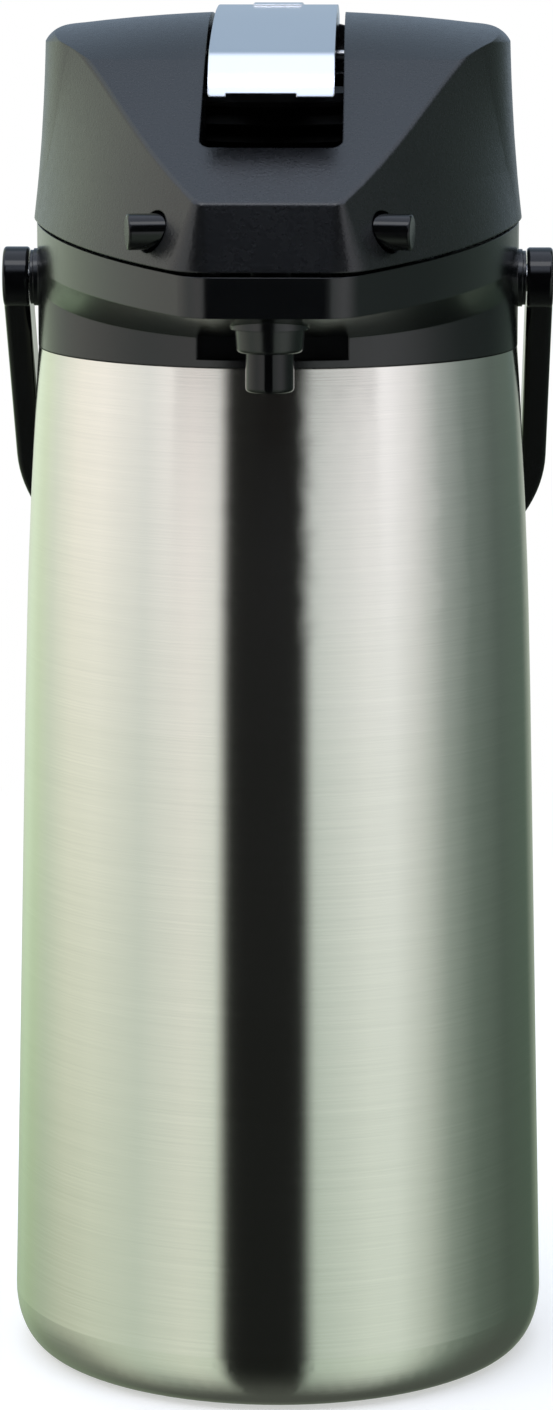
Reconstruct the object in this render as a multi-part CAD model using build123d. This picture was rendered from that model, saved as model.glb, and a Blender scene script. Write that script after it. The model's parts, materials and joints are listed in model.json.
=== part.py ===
from build123d import *
import os
from math import acos, asin, atan, cos, degrees, radians, sin, sqrt

# Lever-action thermal airpot of about three litres. Millimetres, +Z up, the spout faces -Y.
# The origin is on the flask's axis, at the height of the surface that the pot stands on.
os.makedirs("parts", exist_ok=True)

# Clearances
seat_gap = 0.3  # between a moving piece and what it rests against
slip_gap = 0.1  # between pieces of one body that slide together
running_gap = 0.05  # radial play of a pin or shaft in its bore
press_gap = 0.02  # radial play of a pin that stays in its bore

# Helpers for cuts and joins
beyond = 400.0  # past every face of the pot, for cuts that run right through
overcut = 1.0  # how far a cut runs past the face that it opens
sink = 1.0  # how far a piece's root runs into what it grows from
same_plane = 0.01  # a point nearer than this lies in the plane

# Flask, outer wall
base_lift = 0.6  # height of the steel's lowest edge
body_radius = 80.5
corner_width = 9.0
corner_height = 16.4
taper_height = 200.0
taper_radius = 76.0
steel_top = 305.5
collar_radius = 71.0
steel_wall = 0.8
base_opening = 66.0  # radius of the opening in the steel's underside
rebate_radius = 63.8  # radius of the step above the visible steel, inside the shoulder
rebate_height = 3.5
dome_height = 6.5
dome_flat = 61.6
neck_radius = 41.2
neck_height = 4.0

# Flask, inner wall and base
liner_radius = 62.7
liner_wall = 0.7
liner_floor = 20.0
liner_shoulder = 276.0
liner_corner = 14.0
liner_dome_out = 4.0  # how far the liner's dome bulges from a straight cone
liner_dome_up = 6.0
liner_neck_drop = 2.0  # height of the steel's top above the liner's neck
neck_play = 0.4  # between the two steel necks
vacuum_base_height = 12.0
cover_height = 2.2
cover_thickness = 2.6
cover_rim_lift = 0.4  # of the cover's rim, above the steel's lowest edge
foot_inner = 46.0
foot_outer = 57.0
foot_edge = 0.5
screw_radius = 1.5
screw_head_radius = 3.2
screw_head_height = 1.8
base_screw_circle = 36.0
base_boss_radius = 4.5

# Shoulder
shoulder_wall = 2.6
skirt_gap = 0.3  # above the steel's top edge
beak_height = 324.6  # lower edge of the beak at the nose
beak_rise = 0.042  # slope of that edge, up to the back
beak_turn = 81.0  # degrees from the front where the round back hands over to the flanks
beak_flank = 230.0
beak_nose = 121.0
beak_corner = 12.0
beak_drop = 324.0  # height, on the axis, of the plane where the beak's underside meets the collar
beak_slope = 0.149
flare_corner = 3.0
flare_nose = 0.985  # share of the collar's radius at which the flare's front is cut flat
collar_stand = 0.1  # of the collar, outside the flare's foot
band_radius = 71.2
seam_height = 343.0  # height of the seam on the axis
seam_slope = 0.055
seam_gap = 1.2
seam_stock = 20.0  # height of wall that the seam cuts away
deck_height = 321.2
deck_thickness = 2.6
tray_height = 327.5  # floor of the beak's hollow, in the middle
tray_half_width = 48.0  # beyond it the floor follows the beak's lower edge
pocket_half_width = 21.5
pocket_low = 308.0
pocket_high = 315.2
pocket_depth = 4.6
pocket_wall = 2.0
nozzle_boss_radius = 11.1
nozzle_boss_height = 320.0

# Screws and ring under the shoulder
ring_inner = 47.5
ring_outer = 60.6
ring_thickness = 2.0
shoulder_screw_circle = 55.0
shoulder_boss_radius = 4.5
shoulder_boss_floor = 1.0  # left under each boss's hole
screw_tip_gap = 0.2

# Neck ring and pouring line
gasket_thickness = 2.0
mouth_lip = 1.0  # how far the gasket stands inside the liner's neck
neck_ring_radius = 39.6
neck_ring_wall = 3.0
neck_ring_top = 341.0
neck_flange = 46.0
neck_skirt = 6.5
pipe_radius = 5.5
pipe_bore = 4.25
pipe_height = 333.6
pipe_bend = 8.0
pipe_back = -28.5
lug_radius = 9.0
lug_height = 0.8
lug_inset = 1.0  # from the neck ring's outside
dip_wall = 0.6
dip_foot_gap = 4.0
dip_stop = 1.0  # from the dip tube's upper end to the pipe's bend
nozzle_front = -100.0
pipe_end = 321.0
collar_low = 313.5
collar_top_radius = 9.75
collar_low_radius = 9.2
tip_radius = 6.75
tip_low = 302.5
tip_bore = 5.2
tip_step = 5.0  # from the tip's upper end down to its wider bore
nozzle_edge = 1.2

# Lid
lid_radius_low = 73.0  # at lid_low
lid_radius_high = 67.9  # at lid_high
lid_low = 336.0
lid_high = 406.0
lid_stock = 10.0  # how far the lid's cutting forms run past its walls
lid_turn_low = 81.0
lid_turn_high = 56.5
lid_flank_low = 230.0
lid_flank_high = 3000.0
lid_nose_low = 120.6
lid_nose_high = 105.7
lid_corner_low = 15.0
lid_corner_high = 1.0
crease_height = 358.0  # height of the nose's upper corners
crease_corner = 3.5
lid_wall = 2.6
facet_top_y = -44.0
facet_top_z = 391.0
facet_slope = 0.49
crest_height = 403.3
crest_radius = 480.0  # the crown from side to side
crest_y = 9.0
dome_back = 90.0
dome_half_width = 80.0
rim_radius = 69.1
rim_round = 8.5
crease_fillet = 1.5
hollow_crown = 56.0  # radius at which the hollow's crown gives way to a slope under the round rim
hollow_fall = 0.42

# Lever's channel in the lid
slot_half_width = 19.75
slot_front = -89.3
slot_corner = 3.75
channel_wall = 2.0
channel_floor = 383.5
channel_floor_front = 44.0
channel_back_gap = 1.5  # from the lever's back edge to the channel's end
flange_low = 384.0
well_low = 353.0
well_back = -38.0

# Lid base, bellows and plunger
lid_base_low = 348.0
lid_base_thickness = 2.5
lid_base_front = -74.0
seal_height = 344.0
seal_inner = 34.5
lid_screw_x = 50.0
lid_screw_y = 38.0
lid_boss_radius = 4.0
lid_screw_reach = 13.0
bellows_radius = 30.0
bellows_fold = 4.5
bellows_wall = 1.2
bellows_pleats = 5
bellows_cuff = 1.2
plate_low = 378.0
plate_radius = 27.5
plate_thickness = 2.5
pusher_radius = 8.0
pusher_top = 382.7
spring_radius = 18.0
spring_wire = 1.4
spring_turns = 5
valve_radius = 17.0
valve_thickness = 1.2
valve_holes = 3
valve_hole_circle = 11.0
valve_hole_radius = 2.4
valve_stem = 1.6
valve_knob_wide = 0.9  # outside the stem
valve_knob_high = 1.5

# Lever
lever_pivot_y = 56.0
lever_pivot_z = 388.5
lever_pin_radius = 1.5
lever_half_width = 17.5
lever_crest_y = 5.0
lever_crest_z = 405.0
lever_arc = 328.0
lever_back = 62.0
lever_lip_start = -73.0
lever_lip_radius = 19.2
lever_lip_slant = 16.8  # degrees that the lip's lower end leans back from upright
lever_lip_depth = 2.4
lever_skin = 1.2
lever_corner = 1.0
lever_skirt = 7.0
lever_boss = 4.3
core_back_gap = 3.0  # from the cover's back edge to the core's
core_low_front = 384.5
core_low = 391.0
core_bend = -20.0
core_rib = 8.0
core_wall = 2.4
core_pocket_depth = 9.0
presser_radius = 6.0
presser_half_width = 6.0
lip_notch_left = -12.5
lip_notch_right = 7.0
lip_notch_height = 0.9
lip_notch_depth = 4.0
crest_pad_half_width = 7.0
crest_pad_height = 0.6
crest_pad_front = -4.0
crest_pad_back = 34.0

# Lid hinge
hinge_y = 77.0
hinge_z = 346.0
hinge_pin_radius = 2.0
hinge_knuckle = 5.0
knuckle_half_width = 13.5
ear_inner = 14.0
ear_outer = 19.0
ear_depth = 8.0
ear_relief = 5.0  # height, below the axis, of the cut under the eye
hinge_bridge_rise = 1.6
hinge_pin_proud = 0.6

# Buttons and latches
button_radius = 5.0
button_height = 346.8
button_end_x = 39.1
button_end_y = -105.0
button_tilt = 11.0  # degrees that the button's axis leans to the front
button_length = 21.6
button_edge = 0.7
guide_radius = 7.2
guide_depth = 17.1
recess_play = 0.8  # round the button, in the wider mouth of its bore
recess_depth = 13.5
latch_thickness = 3.5
latch_half_width = 4.5
latch_top = 349.5
latch_low = 329.5
hook_reach = 2.5
hook_low = 330.5
hook_high = 333.5
catch_low = 334.0
catch_high = 336.6
catch_reach = 5.5
catch_post = 3.0
latch_spring_radius = 3.0
latch_spring_wire = 0.7
latch_spring_turns = 5
latch_spring_length = 8.4
rib_half_width = 5.0
rib_low = 341.3
rib_high = 350.0
rib_back = -91.0

# Handle
handle_pivot_z = 325.3
handle_inner = 73.6
handle_thickness = 7.7
handle_length = 130.0  # pivot to the middle of the grip
handle_bend = 60.0
handle_width = 16.0
handle_end_radius = 9.0
handle_rest = 50.1  # degrees below the horizontal, behind the pot
handle_edge = 2.0
boss_radius = 8.5
boss_out = 72.3
stud_radius = 4.0
stud_depth = 5.5
stud_root = 4.0  # how far the stud stands inside the shoulder's wall
washer_hole_gap = 0.1
washer_edge_gap = 0.5  # from the boss's edge to the washer's

seam_tilt = degrees(atan(seam_slope))
liner_neck = neck_radius - steel_wall - neck_play
neck_top = steel_top + dome_height + neck_height
flange_low_z = neck_top + liner_wall + gasket_thickness
deck_top = deck_height + deck_thickness
mouth_radius = liner_neck - liner_wall - mouth_lip
shoulder_inside = collar_radius - shoulder_wall


def outline(radius, turn, flank, nose, corner):
    """Plan of the collar: a round back, and two flanks that meet a flat nose."""
    angle = radians(turn)
    start = (radius * sin(angle), -radius * cos(angle))
    centre = (start[0] - flank * sin(angle), start[1] + flank * cos(angle))
    end_angle = acos((centre[1] + nose) / flank)
    middle = (angle + end_angle) / 2
    flank_middle = (centre[0] + flank * sin(middle), centre[1] - flank * cos(middle))
    nose_x = centre[0] + flank * sin(end_angle)
    edges = [
        Line((-nose_x, -nose), (nose_x, -nose)),
        ThreePointArc((nose_x, -nose), flank_middle, start),
        ThreePointArc(start, (0, radius), (-start[0], start[1])),
        ThreePointArc((-start[0], start[1]), (-flank_middle[0], flank_middle[1]), (-nose_x, -nose)),
    ]
    plan = Sketch() + make_face(edges)
    if corner == 0:
        return plan
    return fillet(plan.vertices().sort_by(Axis.Y)[:2], corner)


def lathe(*curves):
    """Solid turned about the pot's axis from a closed outline of (radius, height) curves."""
    edges = [edge for curve in curves for edge in curve.edges()]
    return revolve(Plane.XZ * make_face(edges), Axis.Z)


def lathe_points(*points):
    return lathe(Polyline(*points, close=True))


def rod(radius, low, high, x=0.0, y=0.0):
    """Upright cylinder."""
    upright = (Align.CENTER, Align.CENTER, Align.MIN)
    return Pos(x, y, low) * Cylinder(radius, high - low, align=upright)


def tube(outer, inner, low, high, x=0.0, y=0.0):
    return rod(outer, low, high, x, y) - rod(inner, low - 1, high + 1, x, y)


def cross_bar(radius, left, right, y, z):
    """Cylinder along X."""
    upright = (Align.CENTER, Align.CENTER, Align.MIN)
    return Pos(left, y, z) * Rot(0, 90, 0) * Cylinder(radius, right - left, align=upright)


def block(x0, x1, y0, y1, z0, z1):
    corner = (Align.MIN, Align.MIN, Align.MIN)
    return Pos(x0, y0, z0) * Box(x1 - x0, y1 - y0, z1 - z0, align=corner)


def side_slab(points_or_edges, half_width):
    """Side view in (Y, Z), pushed out to both sides of the middle."""
    face = Plane.YZ * make_face(points_or_edges)
    return extrude(face, half_width, both=True)


def both_sides(piece):
    return [piece, mirror(piece, Plane.YZ)]


def above(piece, height, tilt=0.0):
    cut = Plane(origin=(0, 0, height), x_dir=(1, 0, 0), z_dir=(0, -sin(radians(tilt)), cos(radians(tilt))))
    return split(piece, bisect_by=cut, keep=Keep.TOP)


def below(piece, height, tilt=0.0):
    cut = Plane(origin=(0, 0, height), x_dir=(1, 0, 0), z_dir=(0, -sin(radians(tilt)), cos(radians(tilt))))
    return split(piece, bisect_by=cut, keep=Keep.BOTTOM)


def screw(x, y, head_low, tip):
    """Pan-head screw driven upward, with a cross recess left out."""
    head = rod(screw_head_radius, head_low, head_low + screw_head_height, x, y)
    return head + rod(screw_radius, head_low + screw_head_height, tip, x, y)


def around(count, circle, first=0.0):
    angles = [radians(first + 360.0 * i / count) for i in range(count)]
    return [(circle * cos(a), circle * sin(a)) for a in angles]


# Flask


def body_form(inset):
    """Filled form of the outer wall, drawn in by a wall's thickness."""
    low = base_lift + inset
    middle = base_lift + corner_height
    inner_corner = body_radius - corner_width
    wide, high = corner_width - inset, corner_height - inset
    corner = EllipticalCenterArc((inner_corner, middle), wide, high, start_angle=270, arc_size=90)
    wall_foot = (body_radius - inset, middle)
    wall_mid = (taper_radius - inset, taper_height)
    top = (collar_radius - inset, steel_top - inset)
    slope = (taper_radius - body_radius, taper_height - middle)
    neck = neck_radius - inset
    flat = steel_top + dome_height - inset
    rebate = rebate_radius - inset
    upper = [
        top,
        (rebate, steel_top - inset),
        (rebate, steel_top + rebate_height - inset / 2),
        (dome_flat - inset / 2, flat),
        (neck, flat),
        (neck, neck_top),
        (0, neck_top),
        (0, low),
        (inner_corner, low),
    ]
    return lathe(
        corner,
        Line(wall_foot, wall_mid),
        TangentArc([wall_mid, top], tangent=slope),
        Polyline(*upper),
    )


def make_outer_shell():
    shell = body_form(0) - body_form(steel_wall)
    return shell - rod(base_opening, 0, base_lift + 2 * steel_wall)


def liner_form(inset):
    radius = liner_radius - inset
    floor = liner_floor + inset
    corner = liner_corner - inset
    neck = liner_neck - inset
    neck_foot = steel_top - liner_neck_drop
    dome = liner_shoulder
    bulge = ((radius + neck) / 2 + liner_dome_out, (dome + neck_foot) / 2 + liner_dome_up)
    return lathe(
        Polyline((0, neck_top), (0, floor), (radius - corner, floor)),
        RadiusArc((radius - corner, floor), (radius, floor + corner), -corner),
        Line((radius, floor + corner), (radius, dome)),
        ThreePointArc((radius, dome), bulge, (neck, neck_foot)),
        Polyline((neck, neck_foot), (neck, neck_top), (0, neck_top)),
    )


def make_inner_liner():
    flange = tube(neck_radius, liner_neck - liner_wall, neck_top, neck_top + liner_wall)
    return liner_form(0) - liner_form(liner_wall) + flange


def corner_inside(height):
    """Radius of the steel's inner face at a height within its lower corner."""
    drop = max(0.0, base_lift + corner_height - height) / (corner_height - steel_wall)
    return body_radius - corner_width + (corner_width - steel_wall) * sqrt(1 - drop**2)


def make_vacuum_base():
    radius = corner_inside(vacuum_base_height) - running_gap
    return rod(radius, vacuum_base_height, vacuum_base_height + steel_wall)


def make_base_cover():
    radius = base_opening - seat_gap
    top = cover_height + cover_thickness
    disc = rod(radius, cover_height, top)
    rim = tube(radius, radius - cover_thickness, base_lift + cover_rim_lift, vacuum_base_height - slip_gap)
    spots = around(3, base_screw_circle, 90)
    cover = disc + rim + [rod(base_boss_radius, top, vacuum_base_height, x, y) for x, y in spots]
    for x, y in spots:
        cover -= rod(screw_radius + press_gap, 0, vacuum_base_height + overcut, x, y)
    return cover


def make_base_screws():
    head_low = cover_height - screw_head_height
    return Part() + [
        screw(x, y, head_low, vacuum_base_height - slip_gap) for x, y in around(3, base_screw_circle, 90)
    ]


def make_foot_ring():
    return fillet(tube(foot_outer, foot_inner, 0, cover_height).edges().group_by(Axis.Z)[0], foot_edge)


# Shoulder


def beak_edge(lift):
    """Plane of the beak's lower edge, or one above it."""
    return Plane(origin=(0, -beak_nose, beak_height + lift), x_dir=(1, 0, 0), z_dir=(0, -beak_rise, 1))


def beak_flare():
    """Underside of the beak, drawn in to a tilted circle on the collar."""
    angle = radians(beak_turn)
    tilt = degrees(atan(beak_slope))
    top_plan = Sketch() + section(shoulder_form(0, deck_height), section_by=beak_edge(0)).faces()
    front = block(-beyond, beyond, -beyond, -band_radius * cos(angle), 0, beyond)
    ring = Pos(0, 0, beak_drop) * Rot(tilt, 0, 0) * outline(
        collar_radius, beak_turn, collar_radius, collar_radius * flare_nose, flare_corner
    )
    return loft([ring, top_plan], ruled=True) & front


def shoulder_form(inset, low):
    plan = outline(
        band_radius - inset, beak_turn, beak_flank - inset, beak_nose - inset, beak_corner - inset
    )
    return extrude(Pos(0, 0, low) * plan, seam_height + seam_stock - low)


def tray_hollow():
    """Hollow of the beak: a level floor in the middle, and a rising one along the flanks."""
    hollow = shoulder_form(shoulder_wall, deck_height)
    rising = split(hollow, bisect_by=beak_edge(tray_height - beak_height), keep=Keep.TOP)
    middle = block(-tray_half_width, tray_half_width, -beyond, 0, tray_height, beyond)
    return rising + (hollow & middle)


def latch_frame():
    """Frame of the right-hand button: local X points outward along its axis, from its outer end."""
    return Pos(button_end_x, button_end_y, 0) * Rot(0, 0, -button_tilt)


def make_catch():
    edge = -button_length + hook_reach + seat_gap
    lip = block(edge, edge + catch_reach, -latch_half_width, latch_half_width, catch_low, catch_high)
    post = block(
        edge + catch_reach - catch_post, edge + catch_reach, -latch_half_width, latch_half_width,
        tray_height - sink, catch_high,
    )
    return latch_frame() * (lip + post)


def make_ear():
    eye = cross_bar(hinge_knuckle, ear_inner, ear_outer, hinge_y, hinge_z)
    low = hinge_z - ear_depth
    root = block(ear_inner, ear_outer, band_radius - shoulder_wall, hinge_y + hinge_knuckle, low, hinge_z)
    root -= block(
        ear_inner - overcut, ear_outer + overcut, hinge_y, hinge_y + hinge_knuckle + overcut,
        low - overcut, hinge_z - ear_relief,
    )
    return eye + root


def make_shoulder():
    skirt_low = steel_top + skirt_gap
    form = rod(collar_radius + collar_stand, skirt_low, seam_height + seam_stock)
    form += split(shoulder_form(0, deck_height), bisect_by=beak_edge(0), keep=Keep.TOP)
    form += beak_flare()
    form += rod(nozzle_boss_radius, nozzle_boss_height, beak_height + sink, 0, nozzle_front)
    boss_root = shoulder_inside - shoulder_wall
    form += both_sides(cross_bar(boss_radius, boss_root, boss_out, 0, handle_pivot_z))
    form -= rod(shoulder_inside, 0, deck_height)
    form -= tray_hollow()
    form -= rod(shoulder_inside, deck_top, beyond)
    form -= rod(neck_ring_radius + slip_gap, 0, deck_top + overcut)
    backing = block(
        -pocket_half_width - pocket_wall, pocket_half_width + pocket_wall,
        -shoulder_inside - sink, -collar_radius + pocket_depth + pocket_wall,
        pocket_low - pocket_wall, pocket_high + pocket_wall,
    )
    form += backing & rod(collar_radius, 0, beyond)
    form -= block(
        -pocket_half_width, pocket_half_width, -beyond, -collar_radius + pocket_depth,
        pocket_low, pocket_high,
    )
    form -= rod(collar_top_radius + slip_gap, 0, tray_height + overcut, 0, nozzle_front)
    form += both_sides(make_catch())
    form = below(form, seam_height - seam_gap / 2, seam_tilt)
    form += both_sides(make_ear())
    form -= cross_bar(hinge_pin_radius + press_gap, -beyond, beyond, hinge_y, hinge_z)
    form -= cross_bar(stud_radius + press_gap, -beyond, beyond, 0, handle_pivot_z)
    for x, y in around(4, shoulder_screw_circle, 45):
        form -= rod(screw_radius + press_gap, deck_height - overcut, deck_top + overcut, x, y)
    return form


def make_mounting_ring():
    low = steel_top + dome_height
    ring = tube(ring_outer, ring_inner, low, low + ring_thickness)
    spots = around(4, shoulder_screw_circle, 45)
    ring += [rod(shoulder_boss_radius, low, deck_height, x, y) for x, y in spots]
    for x, y in spots:
        ring -= rod(screw_radius + press_gap, low + shoulder_boss_floor, deck_height + overcut, x, y)
    return ring


def make_shoulder_screws():
    low = steel_top + dome_height + shoulder_boss_floor + screw_tip_gap
    pieces = []
    for x, y in around(4, shoulder_screw_circle, 45):
        shank = rod(screw_radius, low, deck_top, x, y)
        pieces.append(shank + rod(screw_head_radius, deck_top, deck_top + screw_head_height, x, y))
    return Part() + pieces


def make_neck_gasket():
    return tube(neck_radius, mouth_radius, neck_top + liner_wall, flange_low_z)


def make_neck_ring():
    inner = neck_ring_radius - neck_ring_wall
    ring = tube(neck_ring_radius, inner, flange_low_z, neck_ring_top)
    ring += tube(neck_flange, inner, flange_low_z, deck_height)
    ring += tube(mouth_radius - slip_gap, inner, flange_low_z - neck_skirt, flange_low_z)
    lug = rod(lug_radius, flange_low_z, deck_height + lug_height, 0, pipe_back)
    ring += lug & rod(neck_ring_radius - lug_inset, 0, beyond)
    ring -= rod(dip_outer() + slip_gap, 0, beyond, 0, pipe_back)
    pipe_hole = Pos(0, 0, pipe_height) * Rot(90, 0, 0) * Cylinder(
        pipe_radius + slip_gap, beyond, align=(Align.CENTER, Align.CENTER, Align.MIN)
    )
    ring -= pipe_hole & block(-beyond, beyond, -beyond, pipe_back, 0, beyond)
    return ring


def dip_outer():
    return pipe_bore - running_gap


def make_dip_tube():
    low = liner_floor + liner_wall + dip_foot_gap
    return tube(dip_outer(), dip_outer() - dip_wall, low, pipe_height - pipe_bend - dip_stop, 0, pipe_back)


def pipe_path():
    bend_low = pipe_height - pipe_bend
    lug_top = deck_height + lug_height
    elbow_back = Line((0, pipe_back, lug_top), (0, pipe_back, bend_low))
    turn = pipe_bend * (1 - sqrt(0.5))
    first = ThreePointArc(
        (0, pipe_back, bend_low),
        (0, pipe_back - turn, pipe_height - turn),
        (0, pipe_back - pipe_bend, pipe_height),
    )
    run = Line((0, pipe_back - pipe_bend, pipe_height), (0, nozzle_front + pipe_bend, pipe_height))
    second = ThreePointArc(
        (0, nozzle_front + pipe_bend, pipe_height),
        (0, nozzle_front + turn, pipe_height - turn),
        (0, nozzle_front, bend_low),
    )
    drop = Line((0, nozzle_front, bend_low), (0, nozzle_front, pipe_end))
    return Wire([elbow_back.edge(), first.edge(), run.edge(), second.edge(), drop.edge()])


def make_spout_pipe():
    path = pipe_path()
    start = Plane(origin=(0, pipe_back, deck_height + lug_height), z_dir=(0, 0, 1))
    outer = sweep(start * Circle(pipe_radius), path=path)
    return outer - sweep(start * Circle(pipe_bore), path=path)


def make_nozzle_collar():
    top = tray_height - slip_gap
    shell = lathe_points(
        (0, collar_low), (collar_low_radius, collar_low), (collar_top_radius, nozzle_boss_height),
        (collar_top_radius, top), (0, top),
    )
    shell = fillet(shell.edges().group_by(Axis.Z)[0], nozzle_edge)
    return Pos(0, nozzle_front, 0) * (shell - rod(tip_radius + slip_gap, 0, beyond))


def make_nozzle_tip():
    tip = rod(tip_radius, tip_low, pipe_end, 0, nozzle_front)
    tip = fillet(tip.edges().group_by(Axis.Z)[0], nozzle_edge)
    tip -= rod(pipe_bore, 0, beyond, 0, nozzle_front)
    return tip - rod(tip_bore, tip_low - overcut, pipe_end - tip_step, 0, nozzle_front)


# Lid


def dome_section(x, drop):
    """Side view of the dome at one distance from the middle, level behind its crest."""
    crown = crest_radius - sqrt(crest_radius**2 - x**2)
    crest = (crest_y, crest_height - crown - drop)
    edge = (facet_top_y, facet_top_z - drop)
    low = lid_low - lid_stock
    arc = TangentArc([crest, edge], tangent=(-1, 0))
    sides = Polyline(edge, (facet_top_y, low), (dome_back, low), (dome_back, crest[1]), crest)
    return Plane.YZ.offset(x) * make_face([arc.edge(), *sides.edges()])


def roof(drop):
    """Everything under the lid's dome and its front facet."""
    dome = loft([dome_section(share * dome_half_width, drop) for share in (-1, -0.5, 0, 0.5, 1)])
    front = -lid_nose_low - lid_stock
    edge = facet_top_z - drop
    low = lid_low - lid_stock
    fall = facet_slope * (facet_top_y - front)
    facet = Polyline((facet_top_y, low), (facet_top_y, edge), (front, edge - fall), (front, low), close=True)
    return dome + side_slab(facet.edges(), dome_half_width)


def crown_arc(radius, inset):
    """Side view of the crown, from the axis out to a radius."""
    centre = crest_height - inset - crest_radius
    return ThreePointArc(*[(r, centre + sqrt(crest_radius**2 - r**2)) for r in (0, radius / 2, radius)])


def rim_cap():
    """Crown and rounded rim of the lid's round back."""
    low = lid_low - lid_stock
    crown_edge = rim_radius - rim_round
    crown = crown_arc(crown_edge, 0)
    rim_low = (crown @ 1).Y - rim_round
    turn = rim_round * sqrt(0.5)
    return lathe(
        crown,
        ThreePointArc(crown @ 1, (crown_edge + turn, rim_low + turn), (rim_radius, rim_low)),
        Polyline((rim_radius, rim_low), (beyond, rim_low), (beyond, low), (0, low), crown @ 0),
    )


def hollow_cap():
    """Crown of the lid's hollow, sloped off under the round rim."""
    low = lid_low - lid_stock
    crown = crown_arc(hollow_crown, lid_wall)
    foot = hollow_crown + ((crown @ 1).Y - low) / hollow_fall
    return lathe(crown, Polyline(crown @ 1, (foot, low), (0, low), crown @ 0))


def lid_plan(inset, high, corner):
    """Plan of the lid at its upper or lower end, with the nose's corners rounded."""
    if high:
        plan = outline(
            lid_radius_high - inset, lid_turn_high, lid_flank_high - inset, lid_nose_high - inset, corner
        )
        return Pos(0, 0, lid_high) * plan
    plan = outline(lid_radius_low - inset, lid_turn_low, lid_flank_low - inset, lid_nose_low - inset, corner)
    return Pos(0, 0, lid_low) * plan


def lid_blank(inset):
    """Walls of the lid, as if it had no roof, drawn in by a wall's thickness."""
    corner = lid_corner_low - inset
    return loft([lid_plan(inset, False, corner), lid_plan(inset, True, lid_corner_high)], ruled=True)


def lid_walls():
    """Walls of the lid. The nose's corners grow sharper from the seam up to the facet."""
    sharp = loft([lid_plan(0, False, 0), lid_plan(0, True, 0)], ruled=True)
    middle = Sketch() + section(sharp, section_by=Plane.XY.offset(crease_height)).faces()
    middle = fillet(middle.vertices().sort_by(Axis.Y)[:2], crease_corner)
    lower = loft([lid_plan(0, False, lid_corner_low), middle], ruled=True)
    return lower + loft([middle, lid_plan(0, True, lid_corner_high)], ruled=True)


def lid_hollow():
    return lid_blank(lid_wall) & roof(lid_wall * sqrt(1 + facet_slope**2)) & hollow_cap()


def facet_offset(point):
    return point.Z - facet_top_z - facet_slope * (point.Y - facet_top_y)


def facet_edges(form):
    """Edges of the front facet, without the one that it shares with the dome."""
    def on_facet(edge):
        level = all(abs(facet_offset(edge @ t)) < same_plane for t in (0, 0.5, 1))
        return level and (edge @ 0.5).Y < facet_top_y - overcut

    return form.edges().filter_by(on_facet)


def lid_form():
    form = lid_walls() & roof(0) & rim_cap()
    return fillet(facet_edges(form), crease_fillet)


def slot_prism(grow, low, back):
    wide = slot_half_width + grow
    front = slot_front - grow
    plan = Pos(0, (front + back) / 2) * Rectangle(2 * wide, back - front)
    plan = fillet(plan.vertices().sort_by(Axis.Y)[:2], slot_corner + grow)
    return extrude(Pos(0, 0, low) * plan, lid_high + lid_stock - low)


def make_lid_cover():
    outer = lid_form()
    cover = outer - lid_hollow()
    channel = slot_prism(channel_wall, flange_low, dome_back) + slot_prism(channel_wall, well_low, well_back)
    floor = block(
        -slot_half_width - channel_wall, slot_half_width + channel_wall, channel_floor_front, dome_back,
        channel_floor - channel_wall, channel_floor,
    )
    boss_low = lid_base_low + lid_base_thickness
    bosses = [rod(lid_boss_radius, boss_low, lid_high, x, y) for x, y in lid_screw_spots()]
    rib = block(-rib_half_width, rib_half_width, -lid_nose_low, rib_back, rib_low, rib_high)
    guide = latch_frame() * cross_bar(guide_radius, -guide_depth, 0, 0, button_height)
    extras = channel + floor + bosses + rib + both_sides(guide)
    cover += extras & outer
    cover = above(cover, seam_height + seam_gap / 2, seam_tilt)
    knuckle = cross_bar(hinge_knuckle, -knuckle_half_width, knuckle_half_width, hinge_y, hinge_z)
    bridge = block(
        -knuckle_half_width, knuckle_half_width, lid_radius_low - lid_wall, hinge_y,
        hinge_z + hinge_bridge_rise, hinge_z + hinge_knuckle,
    )
    cover += knuckle + bridge
    cover -= cross_bar(hinge_pin_radius + running_gap, -beyond, beyond, hinge_y, hinge_z)
    cover -= slot_prism(0, channel_floor, lever_back + channel_back_gap)
    cover -= slot_prism(0, lid_low, channel_floor_front)
    cover -= cross_bar(lever_pin_radius + press_gap, -pin_half(), pin_half(), lever_pivot_y, lever_pivot_z)
    bore_radius = button_radius + 2 * running_gap
    bore = latch_frame() * cross_bar(bore_radius, -guide_depth - overcut, lid_stock, 0, button_height)
    recess_radius = button_radius + recess_play
    recess = latch_frame() * cross_bar(recess_radius, -recess_depth, lid_stock, 0, button_height)
    for side in both_sides(bore) + both_sides(recess):
        cover -= side
    for x, y in lid_screw_spots():
        cover -= rod(screw_radius + press_gap, lid_base_low, lid_base_low + lid_screw_reach + overcut, x, y)
    return cover


def lid_screw_spots():
    return [(x, y) for x in (-lid_screw_x, lid_screw_x) for y in (-lid_screw_y, lid_screw_y)]


def pin_half():
    return slot_half_width + channel_wall


def make_lid_base():
    low = lid_base_low
    high = low + lid_base_thickness
    plate = lid_blank(lid_wall + seat_gap) & block(-beyond, beyond, lid_base_front, beyond, low, high)
    plate += tube(neck_ring_radius, bellows_radius, seal_height, low)
    plate -= rod(valve_stem + slip_gap, 0, beyond)
    for x, y in around(valve_holes, valve_hole_circle):
        plate -= rod(valve_hole_radius, 0, beyond, x, y)
    for x, y in lid_screw_spots():
        plate -= rod(screw_radius + press_gap, 0, beyond, x, y)
    return plate


def make_lid_gasket():
    return tube(neck_ring_radius, seal_inner, neck_ring_top + seat_gap, seal_height)


def make_lid_screws():
    head_low = lid_base_low - screw_head_height
    return Part() + [screw(x, y, head_low, lid_base_low + lid_screw_reach) for x, y in lid_screw_spots()]


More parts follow.
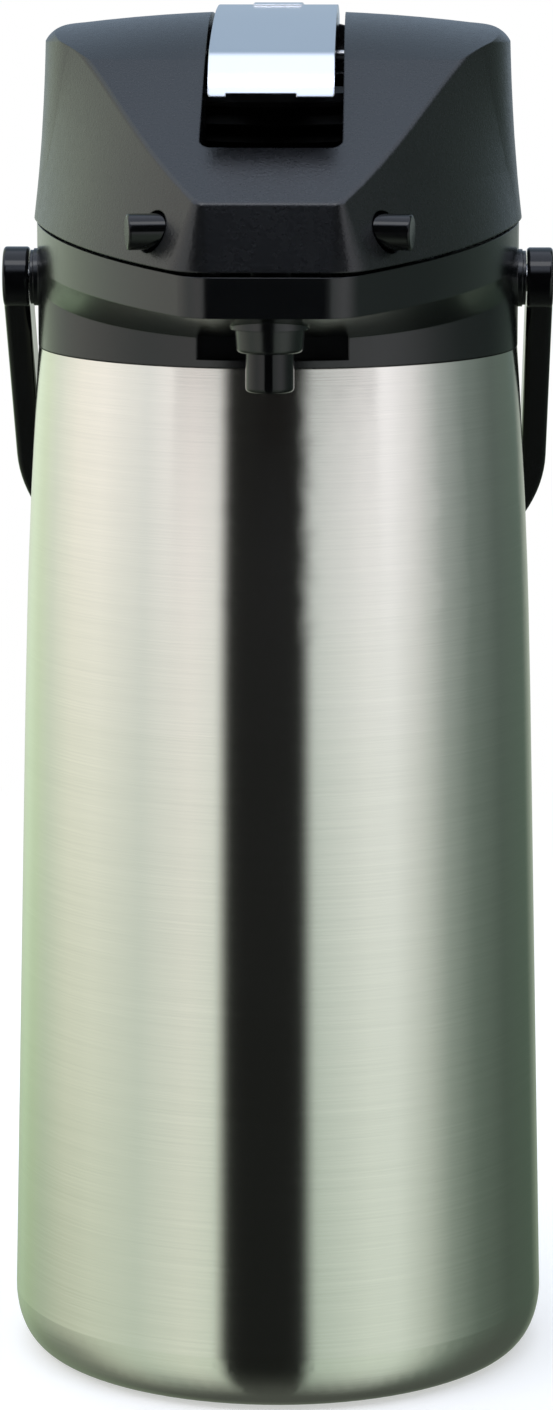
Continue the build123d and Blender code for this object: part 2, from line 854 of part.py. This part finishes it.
def make_air_valve():
    high = lid_base_low + lid_base_thickness
    flap = rod(valve_radius, lid_base_low - valve_thickness, lid_base_low)
    stem = rod(valve_stem, lid_base_low, high)
    return flap + stem + rod(valve_stem + valve_knob_wide, high, high + valve_knob_high)


def make_lid_hinge_pin():
    half = ear_outer + hinge_pin_proud
    return cross_bar(hinge_pin_radius, -half, half, hinge_y, hinge_z)


def make_bellows():
    low = lid_base_low + lid_base_thickness
    high = plate_low - slip_gap
    first = low + bellows_cuff
    pitch = (high - bellows_cuff - first) / bellows_pleats
    inner = bellows_radius - bellows_fold
    outside = [(bellows_radius, low), (bellows_radius, first)]
    for i in range(bellows_pleats):
        outside.append((inner, first + (i + 0.5) * pitch))
        outside.append((bellows_radius, first + (i + 1) * pitch))
    outside[-1] = (plate_radius, outside[-1][1])
    outside.append((plate_radius, high))
    inside = [(r - bellows_wall, z) for r, z in reversed(outside[1:-1])]
    cuff_inner = inner - 2 * bellows_wall
    path = outside + [(cuff_inner, high), (cuff_inner, high - bellows_cuff)]
    path += inside
    path += [(cuff_inner, first), (cuff_inner, low)]
    return lathe_points(*path)


def coil(radius, wire, turns, length):
    """Coil spring standing on the origin, as long as its wire's centre line."""
    helix = Helix(length / turns, length, radius)
    section = Plane(origin=helix @ 0, z_dir=helix % 0) * Circle(wire / 2)
    return sweep(section, path=helix, is_frenet=True)


def make_bellows_spring():
    low = lid_base_low + lid_base_thickness + spring_wire / 2 + slip_gap
    high = plate_low - spring_wire / 2 - slip_gap
    return Pos(0, 0, low) * coil(spring_radius, spring_wire, spring_turns, high - low)


def make_pressure_plate():
    plate = rod(plate_radius, plate_low, plate_low + plate_thickness)
    return plate + rod(pusher_radius, plate_low + plate_thickness, pusher_top)


# Lever


def lever_arc_z(y, drop=0.0):
    radius = lever_arc - drop
    return lever_crest_z - lever_arc + sqrt(radius**2 - (y - lever_crest_y) ** 2)


def lever_arc_edge(back, front, drop):
    middle = (back + front) / 2
    return ThreePointArc(
        (back, lever_arc_z(back, drop)),
        (middle, lever_arc_z(middle, drop)),
        (front, lever_arc_z(front, drop)),
    ).edge()


def lip_point(angle, drop):
    """Point on the lip's arc, by how far its face looks up from the horizontal."""
    fall = asin((lever_crest_y - lever_lip_start) / lever_arc)
    centre_y = lever_lip_start + lever_lip_radius * sin(fall)
    centre_z = lever_arc_z(lever_lip_start) - lever_lip_radius * cos(fall)
    reach = lever_lip_radius - drop
    return (centre_y - reach * cos(radians(angle)), centre_z + reach * sin(radians(angle)))


def lip_edge(drop, low_angle):
    """Lip's arc from the lever's top down to where its face looks up by low_angle."""
    fall = degrees(asin((lever_crest_y - lever_lip_start) / lever_arc))
    angles = (90 - fall, (90 - fall + low_angle) / 2, low_angle)
    return ThreePointArc(*[lip_point(angle, drop) for angle in angles]).edge()


def top_edge(back, drop):
    """Lever's top from the back to the start of the lip."""
    fall = asin((lever_crest_y - lever_lip_start) / lever_arc)
    return lever_arc_edge(back, lever_lip_start + drop * sin(fall), drop)


def make_lever_cover():
    tip = lip_point(lever_lip_slant, 0)
    heel_y = tip[0] + lever_lip_depth
    low = lever_arc_edge(lever_back, heel_y, lever_skirt)
    heel = Polyline(tip, (heel_y, tip[1]), (heel_y, lever_arc_z(heel_y, lever_skirt)))
    back = Line((lever_back, lever_arc_z(lever_back, lever_skirt)), (lever_back, lever_arc_z(lever_back)))
    outside = [top_edge(lever_back, 0), lip_edge(0, lever_lip_slant), *heel.edges(), low, back.edge()]
    solid = side_slab(outside, lever_half_width)
    solid = fillet(solid.edges().filter_by(Axis.Y).group_by(Axis.Z)[0], lever_corner)
    inner_back = lever_back + overcut
    under = tip[1] - lever_skirt
    inner_tip = lip_point(0, lever_skin)
    inner_high = lever_arc_z(inner_back, lever_skin)
    rest = Polyline(inner_tip, (inner_tip[0], under), (inner_back, under), (inner_back, inner_high))
    inside = [top_edge(inner_back, lever_skin), lip_edge(lever_skin, 0), *rest.edges()]
    cover = solid - side_slab(inside, lever_half_width - lever_skin) + crest_pad()
    return cover - block(
        lip_notch_left, lip_notch_right, tip[0] - overcut, tip[0] + lip_notch_depth,
        tip[1] - overcut, tip[1] + lip_notch_height,
    )


def crest_pad():
    """Low raised pad behind the lever's crest."""
    back, front = crest_pad_back, crest_pad_front
    high = lever_arc_edge(back, front, -crest_pad_height)
    low = lever_arc_edge(back, front, lever_skin / 2)
    ends = [
        Line((y, lever_arc_z(y, -crest_pad_height)), (y, lever_arc_z(y, lever_skin / 2))).edge()
        for y in (front, back)
    ]
    return side_slab([high, low, *ends], crest_pad_half_width)


def core_pocket(back, front):
    """Hollow under the core's roof, open below."""
    drop = lever_skin + slip_gap + core_wall
    under = core_low - core_pocket_depth
    top = lever_arc_edge(back, front, drop)
    sides = Polyline(top @ 1, (front, under), (back, under), top @ 0)
    return side_slab([top, *sides.edges()], lever_half_width - lever_skin - slip_gap - core_wall)


def make_lever_core():
    half = lever_half_width - lever_skin - slip_gap
    drop = lever_skin + slip_gap
    back = lever_back - core_back_gap
    lip_centre_z = lip_point(0, 0)[1]
    tip_angle = degrees(asin((core_low_front - lip_centre_z) / (lever_lip_radius - drop)))
    under = Polyline(
        lip_point(tip_angle, drop), (core_bend, core_low), (back, core_low), (back, lever_arc_z(back, drop))
    )
    core = side_slab([top_edge(back, drop), lip_edge(drop, tip_angle), *under.edges()], half)
    core -= core_pocket(-core_rib, lever_lip_start - overcut)
    core -= core_pocket(lever_pivot_y - core_rib, core_rib)
    core += cross_bar(lever_boss, -half, half, lever_pivot_y, lever_pivot_z)
    presser_z = pusher_top + seat_gap + presser_radius
    core += cross_bar(presser_radius, -presser_half_width, presser_half_width, 0, presser_z)
    return core - cross_bar(lever_pin_radius + running_gap, -half, half, lever_pivot_y, lever_pivot_z)


def make_lever_pin():
    return cross_bar(lever_pin_radius, -pin_half(), pin_half(), lever_pivot_y, lever_pivot_z)


# Buttons and latches, drawn for the right-hand side


def make_button():
    rod_piece = cross_bar(button_radius, -button_length, 0, 0, button_height)
    return latch_frame() * fillet(rod_piece.edges().group_by(Axis.X)[-1], button_edge)


def make_latch():
    inner = -button_length - latch_thickness
    plate = block(inner, -button_length, -latch_half_width, latch_half_width, latch_low, latch_top)
    hook = block(
        -button_length, -button_length + hook_reach, -latch_half_width, latch_half_width, hook_low, hook_high
    )
    return latch_frame() * (plate + hook)


def make_latch_spring():
    end = -button_length - latch_thickness - latch_spring_wire / 2 - slip_gap
    spring = coil(latch_spring_radius, latch_spring_wire, latch_spring_turns, latch_spring_length)
    return latch_frame() * Pos(end, 0, button_height) * Rot(0, -90, 0) * spring


# Handle


def handle_band(half_span, reach, bend):
    plan = Pos(0, reach / 2) * Rectangle(2 * half_span, reach)
    return fillet(plan.vertices().sort_by(Axis.Y)[-2:], bend)


def make_handle():
    half = handle_thickness / 2
    inner = handle_band(handle_inner, handle_length - half, handle_bend - half)
    outer = handle_band(handle_inner + handle_thickness, handle_length + half, handle_bend + half)
    band = extrude(outer - inner, handle_width / 2, both=True)
    band = fillet(band.edges().filter_by(Plane.XY), handle_edge)
    end = cross_bar(handle_end_radius, handle_inner, handle_inner + handle_thickness, 0, 0)
    end = fillet(end.edges().filter_by(GeomType.CIRCLE), handle_edge / 2)
    bail = band + both_sides(end)
    depth = handle_inner + stud_depth
    bail -= cross_bar(stud_radius + running_gap, -depth, depth, 0, 0)
    return Pos(0, 0, handle_pivot_z) * Rot(-handle_rest, 0, 0) * bail


def make_stud():
    end = handle_inner + stud_depth - seat_gap
    return cross_bar(stud_radius, shoulder_inside - stud_root, end, 0, handle_pivot_z)


def make_washer():
    disc = cross_bar(boss_radius - washer_edge_gap, boss_out, handle_inner - seat_gap, 0, handle_pivot_z)
    return disc - cross_bar(stud_radius + washer_hole_gap, 0, beyond, 0, handle_pivot_z)


nodes = {
    "outer_shell": make_outer_shell(),
    "inner_liner": make_inner_liner(),
    "vacuum_base": make_vacuum_base(),
    "base_cover": make_base_cover(),
    "base_screws": make_base_screws(),
    "foot_ring": make_foot_ring(),
    "shoulder": make_shoulder(),
    "mounting_ring": make_mounting_ring(),
    "shoulder_screws": make_shoulder_screws(),
    "neck_gasket": make_neck_gasket(),
    "neck_ring": make_neck_ring(),
    "dip_tube": make_dip_tube(),
    "spout_pipe": make_spout_pipe(),
    "nozzle_collar": make_nozzle_collar(),
    "nozzle_tip": make_nozzle_tip(),
    "lid_cover": make_lid_cover(),
    "lid_base": make_lid_base(),
    "lid_gasket": make_lid_gasket(),
    "lid_screws": make_lid_screws(),
    "air_valve": make_air_valve(),
    "lid_hinge_pin": make_lid_hinge_pin(),
    "bellows": make_bellows(),
    "bellows_spring": make_bellows_spring(),
    "pressure_plate": make_pressure_plate(),
    "lever_cover": make_lever_cover(),
    "lever_core": make_lever_core(),
    "lever_pin": make_lever_pin(),
    "button_right": make_button(),
    "button_left": mirror(make_button(), Plane.YZ),
    "latch_right": make_latch(),
    "latch_left": mirror(make_latch(), Plane.YZ),
    "latch_spring_right": make_latch_spring(),
    "latch_spring_left": mirror(make_latch_spring(), Plane.YZ),
    "handle": make_handle(),
    "handle_studs": Part() + both_sides(make_stud()),
    "handle_washers": Part() + both_sides(make_washer()),
}

for name, piece in nodes.items():
    export_step(piece, f"parts/{name}.step")
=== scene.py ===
import json
import math

import bpy
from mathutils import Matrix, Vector

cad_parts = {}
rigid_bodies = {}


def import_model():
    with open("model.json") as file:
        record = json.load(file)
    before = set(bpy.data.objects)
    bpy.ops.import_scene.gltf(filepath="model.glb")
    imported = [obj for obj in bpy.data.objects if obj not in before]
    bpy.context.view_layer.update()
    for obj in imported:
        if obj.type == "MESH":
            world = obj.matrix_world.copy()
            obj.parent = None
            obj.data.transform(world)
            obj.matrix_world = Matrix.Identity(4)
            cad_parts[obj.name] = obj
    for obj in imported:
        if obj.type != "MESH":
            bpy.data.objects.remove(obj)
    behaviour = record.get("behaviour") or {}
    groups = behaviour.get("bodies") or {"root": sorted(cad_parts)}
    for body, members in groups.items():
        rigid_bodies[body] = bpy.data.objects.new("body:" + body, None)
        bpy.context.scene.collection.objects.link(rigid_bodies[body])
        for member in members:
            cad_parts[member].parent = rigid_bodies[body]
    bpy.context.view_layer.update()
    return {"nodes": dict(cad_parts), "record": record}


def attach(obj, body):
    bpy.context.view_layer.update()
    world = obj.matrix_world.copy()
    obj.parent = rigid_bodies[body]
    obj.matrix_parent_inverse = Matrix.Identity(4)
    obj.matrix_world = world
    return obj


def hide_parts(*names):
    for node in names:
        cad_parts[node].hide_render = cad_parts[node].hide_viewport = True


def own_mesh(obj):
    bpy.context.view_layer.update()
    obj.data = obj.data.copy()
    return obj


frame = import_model()
nodes = frame["nodes"]

# Camera: distance from the flask's axis, height, pitch and yaw of the photograph's view
CAMERA_DISTANCE = 1.350
CAMERA_HEIGHT = 0.4439
CAMERA_PITCH = math.radians(10.39)
CAMERA_YAW = math.radians(1.3)
CAMERA_LENS = 116.2
CAMERA_SENSOR = 36
CAMERA_SHIFT = -0.0011
CAMERA_REACH = 100

DOME_RADIUS = 3.2
DOME_HEIGHT = 0.25
FLOOR_RADIUS = 30
FLOOR_DROP = 0.0002  # below the pot's foot
FLASK_RADIUS = 0.078  # at which the steel's brushing is laid out

WHITE = (1, 1, 1, 1)


def rgba(colour):
    return (*colour, 1.0)


def dimmed(colour, share):
    return tuple(c * share for c in colour)


# Shader helpers


class Shader:
    """Short hand for building one node tree."""

    def __init__(self, name, world=False):
        owners = bpy.data.worlds if world else bpy.data.materials
        self.output = "ShaderNodeOutputWorld" if world else "ShaderNodeOutputMaterial"
        self.owner = owners.new(name)
        self.owner.use_nodes = True
        self.tree = self.owner.node_tree
        self.tree.nodes.clear()

    def add(self, kind, settings=None, **inputs):
        """Adds a node. An input is named by its socket, with _ for a space, or by i and its index."""
        node = self.tree.nodes.new(kind)
        for key, value in (settings or {}).items():
            setattr(node, key, value)
        for key, value in inputs.items():
            numbered = key[0] == "i" and key[1:].isdigit()
            self.put(node, int(key[1:]) if numbered else key.replace("_", " "), value)
        return node

    def put(self, node, key, value):
        """Links or sets one input, by its name or index."""
        socket = node.inputs[key]
        if isinstance(value, bpy.types.NodeSocket):
            self.tree.links.new(value, socket)
        elif isinstance(value, bpy.types.Node):
            self.tree.links.new(value.outputs[0], socket)
        else:
            socket.default_value = value

    def math(self, operation, a, b=0.0, clamp=False):
        settings = {"operation": operation, "use_clamp": clamp}
        return self.add("ShaderNodeMath", settings, i0=a, i1=b).outputs[0]

    def product(self, a, b):
        return self.math("MULTIPLY", a, b)

    def ramp(self, value, stops):
        """Colour ramp from (position, colour) stops."""
        node = self.add("ShaderNodeValToRGB", Fac=value)
        elements = node.color_ramp.elements
        while len(elements) > 1:
            elements.remove(elements[-1])
        for i, (position, colour) in enumerate(stops):
            element = elements[0] if i == 0 else elements.new(position)
            element.position = position
            element.color = rgba(colour)
        return node.outputs["Color"]

    def mix(self, factor, a, b, blend="MIX"):
        """Mixes two colours. The mix node's colours are its inputs 6 and 7, and its colour is output 2."""
        node = self.add("ShaderNodeMix", {"data_type": "RGBA", "blend_type": blend}, i0=factor)
        for index, value in ((6, a), (7, b)):
            self.put(node, index, rgba(value) if isinstance(value, tuple) else value)
        return node.outputs[2]

    def scale(self, value, low, high):
        """Maps 0..1 to low..high."""
        node = self.add("ShaderNodeMapRange", {"clamp": True}, i0=value, i1=0.0, i2=1.0, i3=low, i4=high)
        return node.outputs[0]

    def smooth(self, value, low, high):
        """0 below low, 1 above high, with a soft step between them."""
        settings = {"interpolation_type": "SMOOTHSTEP"}
        return self.add("ShaderNodeMapRange", settings, i0=value, i1=low, i2=high, i3=0.0, i4=1.0).outputs[0]

    def step(self, height, low, high):
        """Soft step between two heights in degrees above the horizon; it falls where low is the higher one."""
        if low > high:
            return self.math("SUBTRACT", 1.0, self.smooth(height, high / 90, low / 90))
        return self.smooth(height, low / 90, high / 90)

    def aside(self, away, low, high):
        """Soft step between two directions, in degrees away from the camera's side."""
        return self.smooth(away, low / 180, high / 180)

    def noise(self, vector, scale, detail=2.0, roughness=0.5):
        node = self.add("ShaderNodeTexNoise", Scale=scale, Detail=detail, Roughness=roughness, Vector=vector)
        return node.outputs[0]

    def stretched(self, vector, x, y, z):
        return self.add("ShaderNodeMapping", Vector=vector, Scale=(x, y, z)).outputs[0]

    def place(self):
        return self.add("ShaderNodeTexCoord").outputs["Object"]

    def parts(self):
        """Across, back and up from the object's middle."""
        return self.add("ShaderNodeSeparateXYZ", Vector=self.place()).outputs

    def turn(self, across, back):
        """Angle round the upright axis from the front."""
        return self.math("ARCTAN2", across, self.product(back, -1.0))

    def wrapped(self):
        """Coordinates laid round the flask: arc length in metres, nothing, height."""
        across, back, up = self.parts()
        arc = self.product(self.turn(across, back), FLASK_RADIUS)
        return self.add("ShaderNodeCombineXYZ", X=arc, Y=0.0, Z=up).outputs[0]

    def bump(self, height, distance, strength=1.0, normal=None):
        node = self.add("ShaderNodeBump", Height=height, Distance=distance, Strength=strength)
        if normal is not None:
            self.put(node, "Normal", normal)
        return node.outputs[0]

    def soft_edges(self, radius):
        return self.add("ShaderNodeBevel", {"samples": 6}, Radius=radius).outputs[0]

    def surface(self, base, rough, normal, **inputs):
        """Principled shader."""
        return self.add("ShaderNodeBsdfPrincipled", Base_Color=base, Roughness=rough, Normal=normal, **inputs)

    def finish(self, shader):
        self.add(self.output, Surface=shader)
        return self.owner


# Materials


def brushed_steel(name, colour, tint, roughness, anisotropy):
    """Steel with fine horizontal brushing round the flask."""
    s = Shader(name)
    wrapped = s.wrapped()
    hair = s.noise(s.stretched(wrapped, 22, 1, 3600), 1.0, 3.0, 0.6)
    streak = s.noise(s.stretched(wrapped, 6, 1, 420), 1.0, 3.0, 0.55)
    cloud = s.noise(wrapped, 14)
    lines = s.math("ADD", s.product(hair, 0.72), s.product(streak, 0.28))
    base = s.mix(s.scale(lines, 0.0, 1.0), tint, colour)
    rough = s.math("ADD", s.scale(lines, roughness * 0.8, roughness * 1.2), s.scale(cloud, -0.015, 0.015))
    normal = s.bump(lines, 0.00003, 0.42)
    shader = s.surface(base, rough, normal, Metallic=1.0, Anisotropic=anisotropy, Anisotropic_Rotation=0.25)
    s.put(shader, "Tangent", s.add("ShaderNodeTangent", {"direction_type": "RADIAL", "axis": "Z"}))
    return s.finish(shader)


def moulded(name, colour, roughness, grain_scale, grain_depth, edge=0.0004, specular=0.5):
    """Injection-moulded plastic with a fine surface grain and rounded edges."""
    s = Shader(name)
    place = s.place()
    grain = s.noise(place, grain_scale, 3.0, 0.6)
    cloud = s.noise(place, 38, 3.0, 0.6)
    specks = s.noise(place, grain_scale * 0.37)
    base = s.mix(cloud, dimmed(colour, 0.8), dimmed(colour, 1.22))
    rough = s.math("ADD", s.scale(specks, roughness - 0.05, roughness + 0.05), s.scale(cloud, -0.03, 0.03))
    normal = s.bump(grain, grain_depth, 1.0, s.soft_edges(edge))
    return s.finish(s.surface(base, rough, normal, Specular_IOR_Level=specular))


def chrome(name, colour, roughness):
    """Bright plate with faint smudges."""
    s = Shader(name)
    place = s.place()
    smudge = s.noise(place, 55, 4.0, 0.65)
    fine = s.noise(place, 900)
    base = s.mix(smudge, dimmed(colour, 0.96), colour)
    rough = s.scale(smudge, roughness * 0.6, roughness * 1.5)
    normal = s.bump(fine, 0.000003, 0.5, s.soft_edges(0.0005))
    return s.finish(s.surface(base, rough, normal, Metallic=1.0))


def plain_metal(name, colour, roughness):
    """Turned or drawn steel that isn't brushed for show."""
    s = Shader(name)
    place = s.place()
    lines = s.noise(s.stretched(place, 60, 60, 900), 1.0, 3.0)
    cloud = s.noise(place, 45, 3.0)
    base = s.mix(cloud, dimmed(colour, 0.85), colour)
    rough = s.scale(lines, roughness * 0.75, roughness * 1.25)
    return s.finish(s.surface(base, rough, s.bump(lines, 0.00001, 0.4), Metallic=1.0))


SLOTS = (
    (brushed_steel, "body_steel", (0.98, 0.94, 0.88), (0.74, 0.72, 0.67), 0.16, 0.8),
    (plain_metal, "bare_steel", (0.60, 0.60, 0.59), 0.28),
    (moulded, "black_plastic", (0.0028, 0.0032, 0.0036), 0.20, 1500, 0.00001, 0.0004, 0.62),
    (moulded, "textured_black", (0.0040, 0.0044, 0.0052), 0.27, 1100, 0.00007, 0.0006, 0.65),
    (moulded, "gloss_black", (0.0020, 0.0021, 0.0024), 0.10, 700, 0.000004, 0.0004, 0.42),
    (chrome, "chrome_plate", (0.90, 0.92, 0.95), 0.11),
    (moulded, "grey_plastic", (0.07, 0.07, 0.075), 0.42, 1500, 0.00002),
    (moulded, "black_rubber", (0.014, 0.014, 0.014), 0.62, 1100, 0.00004),
    (moulded, "clear_silicone", (0.58, 0.58, 0.55), 0.42, 800, 0.00001),
)
MATERIALS = {name: make(name, *values) for make, name, *values in SLOTS}
NODE_MATERIAL = {part["node"]: part["material_slot"] for part in frame["record"]["subparts"]}

for name, node in nodes.items():
    for slot in node.material_slots:
        slot.material = MATERIALS[NODE_MATERIAL[name]]


# Bellows and springs, which shorten as their joint moves; each is drawn as a plain copy of its mesh on the
# joint's parent body


def make_squeezed(name, joint):
    """Puts a copy of a node that the joint's moving body presses together on the joint's parent body, and
    hides the node.
    """
    piece = bpy.data.objects.new(name + "_squeezed", nodes[name].data.copy())
    bpy.context.scene.collection.objects.link(piece)
    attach(piece, joint["parent"])
    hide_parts(name)
    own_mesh(piece)


for joint in frame["record"]["behaviour"]["joints"]:
    for row in joint.get("deforming_nodes", []):
        make_squeezed(row["node"], joint)


# Stage: floor, and a round studio wall that only light and reflections show

FLOOR_NEAR = 0.25  # radius at which the lit floor starts to turn plain white
FLOOR_FADE = 0.6
FLOOR_LIT = 0.62
FLOOR_GLOW = 0.47
FLOOR_UNSEEN = 0.72  # what the floor throws back at the pot


def make_floor():
    spot = (0, 0, -FLOOR_DROP)
    bpy.ops.mesh.primitive_circle_add(vertices=96, radius=FLOOR_RADIUS, fill_type="NGON", location=spot)
    floor = bpy.context.object
    floor.name = "floor"
    s = Shader("floor_white")
    across, back, _ = s.parts()
    reach = s.math("SQRT", s.math("ADD", s.product(across, across), s.product(back, back)))
    far = s.math("DIVIDE", s.math("SUBTRACT", reach, FLOOR_NEAR), FLOOR_FADE, True)
    near = s.add("ShaderNodeBsdfDiffuse", Color=rgba([FLOOR_LIT] * 3))
    glow = s.add("ShaderNodeEmission", Color=WHITE, Strength=FLOOR_GLOW)
    lit = s.add("ShaderNodeAddShader", i0=near, i1=glow)
    white = s.add("ShaderNodeEmission", Color=WHITE, Strength=1.0)
    seen = s.add("ShaderNodeMixShader", Fac=far, i1=lit, i2=white)
    plain = s.add("ShaderNodeBsdfDiffuse", Color=rgba([FLOOR_UNSEEN] * 3))
    path = s.add("ShaderNodeLightPath")
    shader = s.add("ShaderNodeMixShader", Fac=path.outputs["Is Camera Ray"], i1=plain, i2=seen)
    floor.data.materials.append(s.finish(shader))
    floor.visible_glossy = False


# Colour of the studio dome near the horizon, by degrees round the flask from the camera: negative is the left.
# The dark stretch in front is the band that runs down the middle of the steel.
WALL = [
    (-180, (0.74, 0.77, 0.71)),
    (-166, (0.80, 0.86, 0.74)),
    (-152, (0.86, 0.98, 0.79)),
    (-138, (0.78, 0.88, 0.70)),
    (-124, (0.82, 0.87, 0.78)),
    (-105, (1.02, 1.00, 0.94)),
    (-88, (1.04, 1.02, 0.98)),
    (-62, (0.84, 0.86, 0.86)),
    (-38, (1.06, 1.02, 1.04)),
    (-26, (0.98, 0.98, 1.00)),
    (-21, (0.012, 0.012, 0.012)),
    (12, (0.012, 0.012, 0.012)),
    (17, (0.74, 0.78, 0.80)),
    (42, (1.02, 1.02, 1.07)),
    (54, (1.02, 1.02, 1.08)),
    (68, (0.76, 0.77, 0.80)),
    (82, (0.38, 0.42, 0.42)),
    (98, (0.19, 0.23, 0.22)),
    (120, (0.11, 0.14, 0.13)),
    (150, (0.12, 0.16, 0.14)),
    (180, (0.74, 0.77, 0.71)),
]
BACK_SKY = (0.36, 0.455, 0.57)  # behind the pot, which the lever's top shows
OVERHEAD = (1.07, 1.18, 1.42)
STRIP = (3.0, 3.1, 3.3)  # lamp high in front, which the lever's lip shows
LOW_TINT = (0.61, 0.71, 0.58)
SHADE = (0.02, 0.022, 0.02)  # under that lamp, which the nose and the nozzle show
UNDERNEATH = (0.072, 0.082, 0.070)
SIDE_DARKENING = 0.72  # of the low sides, which the flare under the beak shows
FRONT_WIDE = math.radians(48)
FRONT_NARROW = math.radians(9)


def make_dome():
    spot = (0, 0, DOME_HEIGHT)
    bpy.ops.mesh.primitive_uv_sphere_add(segments=96, ring_count=48, radius=DOME_RADIUS, location=spot)
    dome = bpy.context.object
    dome.name = "studio_dome"
    s = Shader("studio_dome")
    across, back, up = s.parts()
    angle = s.turn(across, back)
    front = s.math("ABSOLUTE", angle)
    away = s.math("DIVIDE", front, math.pi)
    height = s.math("DIVIDE", s.math("ARCSINE", s.math("DIVIDE", up, DOME_RADIUS)), math.radians(90))

    stops = [((degrees + 180) / 360, colour) for degrees, colour in WALL]
    colour = s.ramp(s.math("ADD", s.math("DIVIDE", angle, math.tau), 0.5), stops)
    colour = s.mix(s.step(height, 3, -22), colour, s.mix(1.0, colour, LOW_TINT, "MULTIPLY"))
    colour = s.mix(s.product(s.aside(away, 138, 166), s.step(height, -5, 4)), colour, BACK_SKY)

    edge = s.scale(s.aside(away, 95, 150), 28 / 90, 58 / 90)
    colour = s.mix(s.step(s.math("SUBTRACT", height, edge), -7, 12), colour, OVERHEAD)

    before = s.math("LESS_THAN", front, FRONT_WIDE)
    shade = s.product(before, s.math("GREATER_THAN", front, FRONT_NARROW))
    shade = s.product(shade, s.product(s.step(height, 2, 8), s.step(height, 48, 44)))
    colour = s.mix(shade, colour, SHADE)
    strip = s.product(s.step(height, 50, 53), s.step(height, 70, 67))
    colour = s.mix(s.product(strip, before), colour, STRIP)

    beside = s.product(s.aside(away, 55, 115), s.step(height, -11, -36))
    colour = s.mix(s.product(beside, SIDE_DARKENING), colour, UNDERNEATH)
    colour = s.mix(s.step(height, -28, -80), colour, UNDERNEATH)
    dome.data.materials.append(s.finish(s.add("ShaderNodeEmission", Color=colour, Strength=1.0)))
    dome.visible_camera = False


def make_lamp(name, place, target, size, power):
    data = bpy.data.lights.new(name, "AREA")
    data.shape = "DISK"
    data.size = size
    data.energy = power
    lamp = bpy.data.objects.new(name, data)
    bpy.context.scene.collection.objects.link(lamp)
    lamp.location = place
    lamp.rotation_euler = (Vector(target) - Vector(place)).to_track_quat("-Z", "Y").to_euler()
    lamp.visible_glossy = False


WORLD_LIGHT = 0.55  # what the world adds to the light; rays that show it get white


def make_world():
    s = Shader("studio", world=True)
    path = s.add("ShaderNodeLightPath")
    seen = s.math("MAXIMUM", path.outputs["Is Camera Ray"], path.outputs["Is Glossy Ray"])
    seen = s.math("MAXIMUM", seen, path.outputs["Is Transmission Ray"])
    strength = s.scale(seen, WORLD_LIGHT, 1.0)
    bpy.context.scene.world = s.finish(s.add("ShaderNodeBackground", Color=WHITE, Strength=strength))


def make_camera():
    data = bpy.data.cameras.new("photo_camera")
    data.lens = CAMERA_LENS
    data.sensor_width = CAMERA_SENSOR
    data.shift_x = CAMERA_SHIFT
    data.clip_end = CAMERA_REACH
    camera = bpy.data.objects.new("photo_camera", data)
    bpy.context.scene.collection.objects.link(camera)
    camera.location = (
        CAMERA_DISTANCE * math.sin(CAMERA_YAW),
        -CAMERA_DISTANCE * math.cos(CAMERA_YAW),
        CAMERA_HEIGHT,
    )
    camera.rotation_euler = (math.pi / 2 - CAMERA_PITCH, 0, CAMERA_YAW)
    bpy.context.scene.camera = camera


make_floor()
make_dome()
make_lamp("key", place=(-1.3, -0.9, 1.5), target=(0, 0, 0.25), size=1.2, power=6.0)
make_lamp("top", place=(0.0, 0.4, 1.9), target=(0, 0, 0.3), size=1.0, power=5.0)
make_world()
make_camera()
bpy.context.scene.view_settings.view_transform = "Standard"
